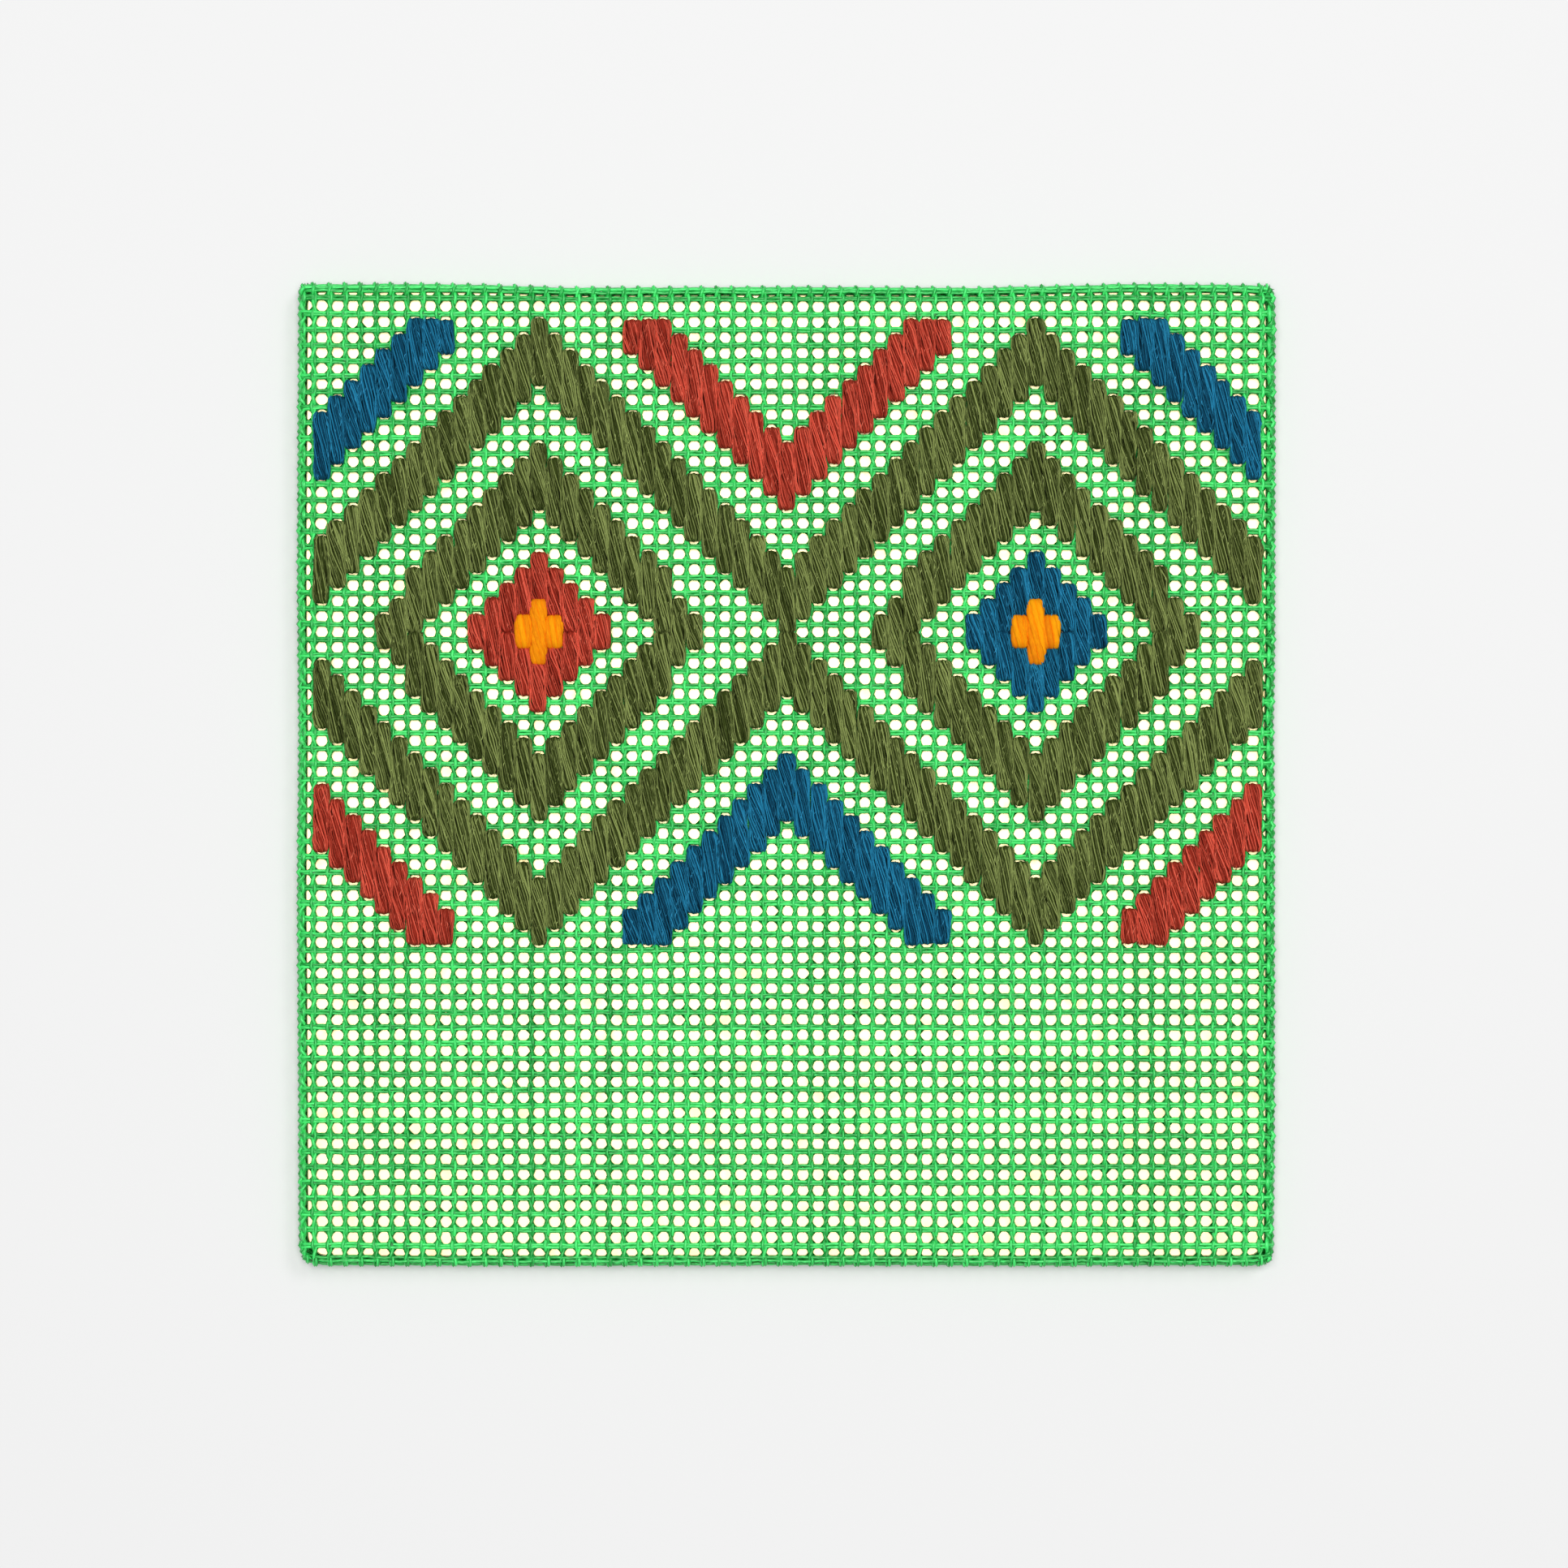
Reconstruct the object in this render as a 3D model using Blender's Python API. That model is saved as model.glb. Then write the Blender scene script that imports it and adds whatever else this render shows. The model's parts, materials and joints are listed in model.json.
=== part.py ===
"""A square embroidery panel: open needlework canvas stretched over a thin board, worked in wool.

Frame: the panel lies on its back. +Z is the worked face, +Y is the top edge, +X is the right edge,
and the origin is under the middle of the panel, on the surface that it lies on. Metres.
"""

import math

import bmesh
import bpy

MM = 0.001

# Canvas: ten holes to the inch. A hole column or row is counted from the middle of the face,
# so column 0 is the middle column, and row 0 is the topmost full row of holes. The hole in the
# middle column and row lies a little to the right of the panel's middle, and a little above it.
PITCH = 2.54 * MM
MIDDLE_ROW = 30
MESH_RIGHT = 0.2 * MM
MESH_UP = 0.45 * MM

# Outer size of the wrapped panel, and what lies between its back and its face
HALF_WIDTH = 80.0 * MM
HALF_HEIGHT = 80.35 * MM
CLOTH = 1.0 * MM
GAP = 0.3 * MM
BOARD_THICK = 3.2 * MM
BOARD_BOTTOM = CLOTH + GAP
BOARD_TOP = BOARD_BOTTOM + BOARD_THICK
FACE_Z = BOARD_TOP + GAP + CLOTH

# Board: its edge lies close inside the canvas all round, with a slightly softened arris
BOARD_INSET = CLOTH + GAP
BOARD_ARRIS = 0.15 * MM

# Canvas wrap: how tightly it turns over the board's edges, and how far it is turned onto the back
WRAP_RADIUS = 1.45 * MM
WRAP_STEPS = 4
BACK_MARGIN = 18.0 * MM
CORNER_STEPS = 4
CORNER_ZONE = 3.5 * MM

# How far each edge of the canvas is drawn in from the straight, seen from the front.
# Columns: distance from the left or bottom end of that edge, drawn in.
DRAWN_IN = {
    "bottom": ((0, 0.1), (40, 0.0), (80, 0.1), (120, 0.0), (160, 0.1)),
    "right": ((0, 0.3), (8, 0.3), (21, 0.1), (74, 0.1), (88, 0.3), (101, 0.05), (154, 0.0), (160, 0.1)),
    "top": ((0, 0.0), (18, 0.0), (31, 0.15), (44, 0.65), (84, 0.5), (111, 0.65), (137, 0.0), (160, 0.2)),
    "left": ((0, 0.5), (4, 0.3), (21, 0.25), (48, 0.1), (61, 0.0), (87, 0.25), (114, 0.0), (160, 0.25)),
}

# Corners of the canvas, anticlockwise. Columns: side across, side up, radius, the edge that follows it.
CORNERS = (
    (-1, -1, 3.0, "bottom"),
    (1, -1, 2.7, "right"),
    (1, 1, 2.2, "top"),
    (-1, 1, 1.8, "left"),
)

# Wool: a stitch stands over four threads of the canvas, and its ends go down through two holes
WOOL_WALL = 0.6 * MM
WOOL_CROWN = 0.6 * MM
WOOL_SHOULDER = 0.55 * MM
WOOL_BULGE = 0.4 * MM
SHARED_HOLE = 0.15 * MM
STITCH = 4
SHORTEST_STITCH = 2
FIRST_ROW = 1
LAST_ROW = 41
HALF_COLUMNS = 30

# Pattern: lozenges set side by side, each outlined in olive, with a ring, a heart and an eye inside
REPEAT = 32
BARE = 4
RING_DROP = STITCH + BARE
RING_COLUMNS = 8
HEART_COLUMNS = 2
HEART_STITCH = 3
CENTRE_ROW = (FIRST_ROW + LAST_ROW) // 2

COLOURS = {
    "board": ((0.86, 0.72, 0.42), 0.35, 0.6),
    "canvas": ((0.10, 0.52, 0.14), 0.75, 0.0),
    "olive": ((0.105, 0.133, 0.040), 0.95, 0.0),
    "blue": ((0.007, 0.098, 0.180), 0.95, 0.0),
    "red": ((0.410, 0.048, 0.030), 0.95, 0.0),
    "orange": ((0.950, 0.320, 0.001), 0.90, 0.0),
}


def clear_scene():
    for old in list(bpy.data.objects):
        bpy.data.objects.remove(old)


def finish_material(colour):
    """The Principled material of one colour, made the first time that it is asked for."""
    material = bpy.data.materials.get(colour)
    if material is None:
        rgb, roughness, metallic = COLOURS[colour]
        material = bpy.data.materials.new(colour)
        material.use_nodes = True
        shader = material.node_tree.nodes["Principled BSDF"]
        shader.inputs["Base Color"].default_value = (*rgb, 1)
        shader.inputs["Roughness"].default_value = roughness
        shader.inputs["Metallic"].default_value = metallic
    return material


def make_object(name, bm, colour):
    bmesh.ops.recalc_face_normals(bm, faces=bm.faces)
    mesh = bpy.data.meshes.new(name)
    bm.to_mesh(mesh)
    bm.free()
    mesh.materials.append(finish_material(colour))
    piece = bpy.data.objects.new(name, mesh)
    bpy.context.scene.collection.objects.link(piece)
    return piece


def drawn_in(edge, place):
    """How far that edge is drawn in, at a distance in metres from its left or bottom end."""
    table = DRAWN_IN[edge]
    for (start, at_start), (end, at_end) in zip(table, table[1:]):
        if place <= end * MM:
            share = max(0.0, place / MM - start) / (end - start)
            return (at_start + share * (at_end - at_start)) * MM
    return table[-1][1] * MM


def edge_points(edge):
    """Points on one straight edge, anticlockwise, at the places that its table names."""
    stops = [place * MM for place, _ in DRAWN_IN[edge]]
    stops = [stop for stop in stops if CORNER_ZONE < stop < 2 * HALF_WIDTH - CORNER_ZONE]
    points = {
        "bottom": [(stop - HALF_WIDTH, -HALF_HEIGHT) for stop in stops],
        "right": [(HALF_WIDTH, stop - HALF_HEIGHT) for stop in stops],
        "top": [(stop - HALF_WIDTH, HALF_HEIGHT) for stop in reversed(stops)],
        "left": [(-HALF_WIDTH, stop - HALF_HEIGHT) for stop in reversed(stops)],
    }
    return points[edge]


def corner_points(number, across, up, radius):
    """Points round one corner, anticlockwise."""
    centre_x = across * (HALF_WIDTH - radius)
    centre_y = up * (HALF_HEIGHT - radius)
    points = []
    for step in range(CORNER_STEPS + 1):
        angle = math.pi + math.pi / 2 * (number + step / CORNER_STEPS)
        points.append((centre_x + radius * math.cos(angle), centre_y + radius * math.sin(angle)))
    return points


def canvas_outline():
    """The outer outline of the wrapped canvas, anticlockwise, as uneven as the hand-stretched cloth."""
    straight = []
    for number, (across, up, radius, edge) in enumerate(CORNERS):
        straight += corner_points(number, across, up, radius * MM)
        straight += edge_points(edge)
    outline = []
    for x, y in straight:
        near_side = abs(x) > HALF_WIDTH - CORNER_ZONE
        near_end = abs(y) > HALF_HEIGHT - CORNER_ZONE
        pull_x = drawn_in("right" if x > 0 else "left", y + HALF_HEIGHT) if near_side else 0.0
        pull_y = drawn_in("top" if y > 0 else "bottom", x + HALF_WIDTH) if near_end else 0.0
        outline.append((x - math.copysign(pull_x, x), y - math.copysign(pull_y, y)))
    return outline


def wrap_profile(depth):
    """(inset, height) pairs from the face round an edge to the back, on the surface that is depth inside."""
    radius = WRAP_RADIUS - depth
    levels = []
    for middle, first_angle in ((FACE_Z - WRAP_RADIUS, math.pi / 2), (WRAP_RADIUS, 0.0)):
        for step in range(WRAP_STEPS + 1):
            angle = first_angle - math.pi / 2 * step / WRAP_STEPS
            levels.append(
                (WRAP_RADIUS - radius * math.cos(angle), middle + radius * math.sin(angle))
            )
    return levels + [(BACK_MARGIN, depth)]


def stacked(levels):
    """A body that follows the panel's outline at each (inset, height) level and is closed at both ends."""
    outline = canvas_outline()
    bm = bmesh.new()
    rings = []
    for inset, height in levels:
        shrink = 1 - inset / HALF_WIDTH
        rings.append([bm.verts.new((x * shrink, y * shrink, height)) for x, y in outline])
    count = len(outline)
    for outer, inner in zip(rings, rings[1:]):
        for k in range(count):
            following = (k + 1) % count
            bm.faces.new((outer[k], outer[following], inner[following], inner[k]))
    bm.faces.new(rings[0])
    bm.faces.new(rings[-1])
    return bm


def board():
    """The thin square board, whose edges are as uneven as the canvas drawn tight round them."""
    levels = (
        (BOARD_INSET + BOARD_ARRIS, BOARD_TOP),
        (BOARD_INSET, BOARD_TOP - BOARD_ARRIS),
        (BOARD_INSET, BOARD_BOTTOM + BOARD_ARRIS),
        (BOARD_INSET + BOARD_ARRIS, BOARD_BOTTOM),
    )
    make_object("board", stacked(levels), "board")


def canvas():
    """The cloth as one shell: the face, the four turned edges, and the margins glued down at the back."""
    make_object("canvas", stacked(wrap_profile(0.0) + wrap_profile(CLOTH)[::-1]), "canvas")


def slanted(first, last, top_at_first, step, drop=STITCH):
    """Stitches (column, top row, bottom row) that go down or up by step rows for each column."""
    way = 1 if last >= first else -1
    stitches = []
    for place, column in enumerate(range(first, last + way, way)):
        top = top_at_first + step * place
        bottom = min(top + drop, LAST_ROW)
        top = max(top, FIRST_ROW)
        if abs(column) <= HALF_COLUMNS and bottom - top >= SHORTEST_STITCH:
            stitches.append((column, top, bottom))
    return stitches


def upside_down(stitches):
    """The same stitches mirrored about the pattern's centre row."""
    return [(c, 2 * CENTRE_ROW - bottom, 2 * CENTRE_ROW - top) for c, top, bottom in stitches]


def outline_runs():
    """Two olive zigzags, one the mirror of the other, that meet at the centre row: four legs each."""
    half = REPEAT // 2
    legs = []
    for peak in (-half, half):
        legs.append(slanted(peak, peak - half + (1 if peak > 0 else 0), FIRST_ROW, 1))
        legs.append(slanted(peak + 1, peak + half, FIRST_ROW + 1, 1))
    runs = {}
    for number, leg in enumerate(legs, 1):
        runs[f"zigzag_upper_{number}"] = ("olive", leg)
        runs[f"zigzag_lower_{number}"] = ("olive", upside_down(leg))
    return runs


def ring_runs(side, peak):
    """An olive lozenge ring of four legs, with a long and a short stitch as the tip at each side."""
    top = FIRST_ROW + RING_DROP
    left = slanted(peak, peak - RING_COLUMNS, top, 1)
    right = slanted(peak + 1, peak + RING_COLUMNS, top + 1, 1)
    runs = {}
    for hand, leg, way in (("left", left, -1), ("right", right, 1)):
        tip = peak + way * (RING_COLUMNS + 1)
        tips = [(tip, CENTRE_ROW - 2, CENTRE_ROW + 2), (tip + way, CENTRE_ROW - 1, CENTRE_ROW + 1)]
        runs[f"{side}_ring_upper_{hand}"] = ("olive", leg + tips)
        runs[f"{side}_ring_lower_{hand}"] = ("olive", upside_down(leg))
    return runs


def heart_runs(side, peak, colour):
    """The small lozenge in a ring, in two halves, round an eye of one long and two short stitches."""
    top = CENTRE_ROW - 2 - HEART_STITCH
    half = [
        (peak + k, top + abs(k), top + abs(k) + HEART_STITCH)
        for k in range(-HEART_COLUMNS, HEART_COLUMNS + 1)
    ]
    tips = []
    for way in (-1, 1):
        tip = peak + way * (HEART_COLUMNS + 1)
        tips += [(tip, CENTRE_ROW - 2, CENTRE_ROW + 2), (tip + way, CENTRE_ROW - 1, CENTRE_ROW + 1)]
    eye = [(peak + k, CENTRE_ROW - 2 + abs(k), CENTRE_ROW + 2 - abs(k)) for k in (-1, 0, 1)]
    return {
        f"{side}_heart_upper": (colour, half + tips),
        f"{side}_heart_lower": (colour, upside_down(half)),
        f"{side}_eye": ("orange", eye),
    }


def vee_runs():
    """The vees above and below the zigzags: a whole one in the middle and half of one at each side."""
    dip = FIRST_ROW + REPEAT // 2 - BARE - STITCH
    reach = dip + SHORTEST_STITCH - 1
    upper = {
        "vee": ("red", slanted(0, -reach, dip, -1) + slanted(1, reach, dip - 1, -1)),
        "corner_left": ("blue", slanted(-REPEAT, reach - REPEAT, dip, -1)),
        "corner_right": ("blue", slanted(REPEAT, REPEAT - reach, dip, -1)),
    }
    swapped = {"red": "blue", "blue": "red"}
    runs = {f"upper_{name}": run for name, run in upper.items()}
    for name, (colour, stitches) in upper.items():
        runs[f"lower_{name}"] = (swapped[colour], upside_down(stitches))
    return runs


def all_runs():
    half = REPEAT // 2
    runs = outline_runs()
    runs.update(ring_runs("left", -half))
    runs.update(ring_runs("right", half))
    runs.update(heart_runs("left", -half, "red"))
    runs.update(heart_runs("right", half, "blue"))
    runs.update(vee_runs())
    return runs


def hole_uses(runs):
    """How many stitches end in each hole, so that two that share one leave room for each other."""
    uses = {}
    for _, stitches in runs.values():
        for column, top, bottom in stitches:
            for row in (top, bottom):
                uses[column, row] = uses.get((column, row), 0) + 1
    return uses


def run_outline(stitches, uses):
    """The stepped outline of a run of stitches side by side, clockwise from its first stitch's top."""
    ordered = sorted(stitches)
    upper, lower = [], []
    for place, (column, top, bottom) in enumerate(ordered):
        left = (column - 0.5) * PITCH + MESH_RIGHT + (GAP if place == 0 else 0)
        right = (column + 0.5) * PITCH + MESH_RIGHT - (GAP if place == len(ordered) - 1 else 0)
        over_top = -SHARED_HOLE if uses[column, top] > 1 else WOOL_BULGE
        over_bottom = -SHARED_HOLE if uses[column, bottom] > 1 else WOOL_BULGE
        high = (MIDDLE_ROW - top) * PITCH + MESH_UP + over_top
        low = (MIDDLE_ROW - bottom) * PITCH + MESH_UP - over_bottom
        upper += [(left, high), (right, high)]
        lower += [(left, low), (right, low)]
    return upper + lower[::-1]


def wool_run(name, colour, stitches, uses):
    """One raised run of satin stitches: upright walls at its stepped edge, and a crowned top."""
    base = FACE_Z + GAP
    bm = bmesh.new()
    foot = bm.faces.new([bm.verts.new((x, y, base)) for x, y in run_outline(stitches, uses)])
    bmesh.ops.dissolve_degenerate(bm, dist=GAP / 10, edges=bm.edges)
    raised = bmesh.ops.extrude_face_region(bm, geom=[foot], use_keep_orig=True)["geom"]
    tops = [f for f in raised if isinstance(f, bmesh.types.BMFace)]
    corners = [v for v in raised if isinstance(v, bmesh.types.BMVert)]
    bmesh.ops.translate(bm, vec=(0, 0, WOOL_WALL), verts=corners)
    bmesh.ops.recalc_face_normals(bm, faces=bm.faces)
    bmesh.ops.inset_region(
        bm, faces=tops, thickness=WOOL_SHOULDER, depth=0, use_even_offset=True
    )
    crown = {v for face in tops for v in face.verts}
    bmesh.ops.translate(bm, vec=(0, 0, WOOL_CROWN), verts=list(crown))
    make_object(name, bm, colour)


def build_panel():
    clear_scene()
    board()
    canvas()
    runs = all_runs()
    uses = hole_uses(runs)
    for name, (colour, stitches) in runs.items():
        wool_run(name, colour, stitches, uses)


build_panel()
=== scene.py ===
import json
import math
import random

import bpy
import numpy as np
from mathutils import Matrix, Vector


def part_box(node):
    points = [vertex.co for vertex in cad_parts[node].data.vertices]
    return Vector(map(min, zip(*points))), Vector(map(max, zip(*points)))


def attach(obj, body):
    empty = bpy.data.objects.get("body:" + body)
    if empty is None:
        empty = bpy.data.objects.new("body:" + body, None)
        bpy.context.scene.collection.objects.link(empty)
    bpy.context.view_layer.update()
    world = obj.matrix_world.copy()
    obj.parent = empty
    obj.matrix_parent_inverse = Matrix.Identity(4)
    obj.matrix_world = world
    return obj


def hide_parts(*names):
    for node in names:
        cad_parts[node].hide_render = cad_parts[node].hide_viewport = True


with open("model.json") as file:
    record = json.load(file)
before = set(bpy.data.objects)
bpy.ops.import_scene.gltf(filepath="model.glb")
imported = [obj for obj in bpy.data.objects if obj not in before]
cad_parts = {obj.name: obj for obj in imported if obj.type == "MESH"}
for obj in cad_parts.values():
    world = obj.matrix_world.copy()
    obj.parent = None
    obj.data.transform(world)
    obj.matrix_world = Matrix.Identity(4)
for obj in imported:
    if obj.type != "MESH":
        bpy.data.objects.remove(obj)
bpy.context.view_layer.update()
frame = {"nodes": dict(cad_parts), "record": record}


# The board
# A square of thick card, 157 mm across and 3 mm thick, faced with satin pale-gold paper. The canvas is
# stretched over it. It keeps its solid's shape, and shows through the mesh and in the middle of the back.

MM = 0.001


def add(tree, kind, inputs=(), **settings):
    """A new node. Each input is another node's output, or a plain value."""
    node = tree.nodes.new(kind)
    for name, value in settings.items():
        setattr(node, name, value)
    for key, value in dict(inputs).items():
        sockets = [s for s in node.inputs if s.enabled and s.name == key]
        socket = node.inputs[key] if isinstance(key, int) else sockets[0]
        if isinstance(value, bpy.types.NodeSocket):
            tree.links.new(value, socket)
        else:
            socket.default_value = value
    return node


def new_finish(name, roughness, metallic=0.0):
    """A material with its node tree and its Principled shader."""
    material = bpy.data.materials.new(name)
    material.use_nodes = True
    tree = material.node_tree
    shader = tree.nodes["Principled BSDF"]
    shader.inputs["Roughness"].default_value = roughness
    shader.inputs["Metallic"].default_value = metallic
    return material, tree, shader


def blended(tree, level, low, high, first, second, most=1.0):
    """The first colour where a level is low, and at most this share of the second where it is high."""
    span = {"Value": level, "From Min": low, "From Max": high, "To Min": 0.0, "To Max": most}
    amount = add(tree, "ShaderNodeMapRange", span).outputs[0]
    colours = {"Factor": amount, "A": (*first, 1), "B": (*second, 1)}
    return add(tree, "ShaderNodeMix", colours, data_type="RGBA").outputs[2]


def bumped(tree, height, strength, depth):
    """The normal of a surface that stands up to a depth where the height is 1."""
    return add(
        tree, "ShaderNodeBump", {"Height": height, "Strength": strength, "Distance": depth}
    ).outputs[0]


def gold_paper():
    """Satin pale gold, a little deeper in random blotches."""
    bright, deep = (0.97, 0.82, 0.46), (0.84, 0.56, 0.22)
    material, tree, shader = new_finish("gold_paper", roughness=0.48, metallic=0.62)
    place = add(tree, "ShaderNodeTexCoord").outputs["Object"]
    deeper_blotches = add(tree, "ShaderNodeTexNoise", {"Vector": place, "Scale": 260.0, "Detail": 4.0})
    colour = blended(tree, deeper_blotches.outputs[0], 0.55, 0.80, bright, deep, most=0.8)
    grain = add(tree, "ShaderNodeTexNoise", {"Vector": place, "Scale": 2500.0, "Detail": 2.0})
    normal = bumped(tree, grain.outputs[0], strength=0.15, depth=0.02 * MM)
    tree.links.new(colour, shader.inputs["Base Color"])
    tree.links.new(normal, shader.inputs["Normal"])
    return material


board = frame["nodes"]["board"]
board.material_slots[0].material = gold_paper()


# The canvas
# Green interlock needlework canvas of stiffened cotton, ten holes to the inch. Each weft is two threads and
# each warp two plies, one over and one under every weft, that cross between the wefts and lock them in. The
# cloth is stretched over the board, turned over its edges and glued down on its back.

PITCH = 2.54 * MM
CLOTH = 1.0 * MM
WRAP_RADIUS = 1.45 * MM
BACK_MARGIN = 18.0 * MM
canvas_low, canvas_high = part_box("canvas")
HALF = {"x": canvas_high.x, "y": canvas_high.y}
cloth_middle = canvas_high.z - CLOTH / 2
turn_radius = WRAP_RADIUS - CLOTH / 2
quarter_turn = turn_radius * math.pi / 2
upright = canvas_high.z - canvas_low.z - 2 * WRAP_RADIUS
over_edge = 2 * quarter_turn + upright

# The mesh's middle hole lies a little to the right of the panel's middle, and above it.
MESH_RIGHT = 0.2 * MM
MESH_UP = 0.45 * MM

# Turning the cloth presses the first thread beyond the face against the edge, and draws the rest after it.
# How far past the start of the turn that thread lies, by axis and side.
PRESSED = {("x", -1): 0.5 * MM, ("x", 1): 0.5 * MM, ("y", -1): 0.15 * MM, ("y", 1): 0.4 * MM}

# How full a thread is over the edge, against 1 on the face, and how near the cloth's cut edge one may lie.
EDGE_SWELL = 1.35
CUT_EDGE = 0.3 * MM


def new_tree(name, result, kinds):
    """A Geometry Nodes tree with its named inputs and its one output, and where its inputs arrive."""
    tree = bpy.data.node_groups.new(name, "GeometryNodeTree")
    for label, kind in kinds.items():
        tree.interface.new_socket(label, in_out="INPUT", socket_type="NodeSocket" + kind)
    tree.interface.new_socket(result, in_out="OUTPUT", socket_type="NodeSocketGeometry")
    return tree, tree.nodes.new("NodeGroupInput").outputs


def end_tree(tree, geometry, finish):
    """Gives a tree's result, smooth, real and in its finish."""
    smooth = add(tree, "GeometryNodeSetShadeSmooth", {"Geometry": geometry, "Shade Smooth": True})
    real = add(tree, "GeometryNodeRealizeInstances", {"Geometry": smooth.outputs[0]})
    finished = add(tree, "GeometryNodeSetMaterial", {"Geometry": real.outputs[0], "Material": finish})
    result = tree.nodes.new("NodeGroupOutput")
    tree.links.new(finished.outputs[0], result.inputs[0])
    return tree


def calculator(tree):
    """A function that adds a sum to this tree and gives its result."""

    def calc(operation, *values):
        return add(tree, "ShaderNodeMath", enumerate(values), operation=operation).outputs[0]

    return calc


def toned(tree, geometry, domain, seed):
    """The geometry with a random tone for each of its strands."""
    index = add(tree, "GeometryNodeInputIndex").outputs[0]
    choice = {"Min": 0.0, "Max": 1.0, "ID": index, "Seed": seed}
    tone = add(tree, "FunctionNodeRandomValue", choice, data_type="FLOAT")
    number = next(socket for socket in tone.outputs if socket.enabled)
    stored = {"Geometry": geometry, "Name": "tone", "Value": number}
    return add(
        tree, "GeometryNodeStoreNamedAttribute", stored, data_type="FLOAT", domain=domain
    ).outputs[0]


def plied_yarn_tree():
    """Twists plies round each spine. Along is the spine's own direction, and Across lies beside it."""
    kinds = {
        "Spines": "Geometry",
        "Along": "Vector",
        "Across": "Vector",
        "Plies": "Int",
        "Turn Length": "Float",
        "Spread": "Float",
        "Lift": "Float",
        "Lift Turns": "Float",
        "Ply Radius": "Float",
        "Sides": "Int",
        "Core": "Float",
        "Drift": "Float",
        "Drift Length": "Float",
        "Unevenness": "Float",
        "Seed": "Int",
        "Finish": "Material",
    }
    tree, given = new_tree("plied_yarn", "Yarn", kinds)
    calc = calculator(tree)

    def vector(operation, *values):
        return add(tree, "ShaderNodeVectorMath", enumerate(values), operation=operation)

    def scaled(direction, amount):
        """A vector times a number."""
        node = add(tree, "ShaderNodeVectorMath", {0: direction, "Scale": amount}, operation="SCALE")
        return node.outputs[0]

    def named(label):
        """A number that each point of a spine carries."""
        node = add(tree, "GeometryNodeInputNamedAttribute", {"Name": label}, data_type="FLOAT")
        return node.outputs["Attribute"]

    def stored(geometry, label, value, kind="FLOAT"):
        """The geometry with a value kept at each of its points."""
        node = add(
            tree,
            "GeometryNodeStoreNamedAttribute",
            {"Geometry": geometry, "Name": label, "Value": value},
            data_type=kind,
            domain="POINT",
        )
        return node.outputs[0]

    curves = add(tree, "GeometryNodeMeshToCurve", {"Mesh": given["Spines"]}).outputs[0]
    copies = add(
        tree,
        "GeometryNodeDuplicateElements",
        {"Geometry": curves, "Amount": given["Plies"]},
        domain="SPLINE",
    )
    ply = copies.outputs["Duplicate Index"]
    place = add(tree, "GeometryNodeInputPosition").outputs[0]
    distance = vector("DOT_PRODUCT", place, given["Along"]).outputs["Value"]
    turned = calc("MULTIPLY", calc("DIVIDE", distance, given["Turn Length"]), math.tau)
    share = calc("MULTIPLY", calc("DIVIDE", ply, given["Plies"]), math.tau)
    angle = calc("ADD", calc("ADD", turned, share), named("start"))
    more_turns = calc("MULTIPLY", calc("ADD", turned, named("start")), given["Lift Turns"])
    lift_angle = calc("ADD", calc("ADD", more_turns, share), named("lead"))
    spread = calc("MULTIPLY", calc("MULTIPLY", given["Spread"], named("swell")), calc("COSINE", angle))
    lift = calc("MULTIPLY", calc("MULTIPLY", given["Lift"], named("swell")), calc("SINE", lift_angle))
    round_offset = vector(
        "ADD", scaled(given["Across"], spread), scaled((0.0, 0.0, 1.0), lift)
    ).outputs[0]

    # Plies drift together, and each is uneven on its own at a finer scale. Little of either is upwards.
    upward_share, finer, seed_step = 0.35, 4.0, 3.7

    def wander(size, seed, scale):
        """A smooth random offset, mostly level with the cloth."""
        noise = add(
            tree,
            "ShaderNodeTexNoise",
            {"Vector": place, "W": seed, "Scale": scale, "Detail": 1.0},
            noise_dimensions="4D",
        )
        centred = vector("SUBTRACT", noise.outputs[1], (0.5, 0.5, 0.5)).outputs[0]
        flat = vector("MULTIPLY", centred, (1.0, 1.0, upward_share)).outputs[0]
        return scaled(flat, size)

    drift_scale = calc("DIVIDE", 1.0, given["Drift Length"])
    drift = wander(given["Drift"], given["Seed"], drift_scale)
    own_seed = calc("ADD", calc("MULTIPLY", ply, seed_step), given["Seed"])
    own = wander(given["Unevenness"], own_seed, calc("MULTIPLY", drift_scale, finer))
    offset = vector("ADD", round_offset, vector("ADD", drift, own).outputs[0]).outputs[0]
    laid = add(tree, "GeometryNodeSetPosition", {"Geometry": copies.outputs[0], "Offset": offset})
    plies = toned(tree, laid.outputs[0], "CURVE", given["Seed"])
    measured = stored(plies, "along", distance)
    circle = add(
        tree, "GeometryNodeCurvePrimitiveCircle", {"Resolution": given["Sides"], "Radius": 1.0}
    )
    ringed = stored(circle.outputs[0], "ring", place, "FLOAT_VECTOR")
    ply_size = scaled((1.0, 1.0, 1.0), given["Ply Radius"])
    ply_section = add(tree, "GeometryNodeTransform", {"Geometry": ringed, "Scale": ply_size})
    tube = add(
        tree,
        "GeometryNodeCurveToMesh",
        {"Curve": measured, "Profile Curve": ply_section.outputs[0], "Fill Caps": True},
    )

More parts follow.
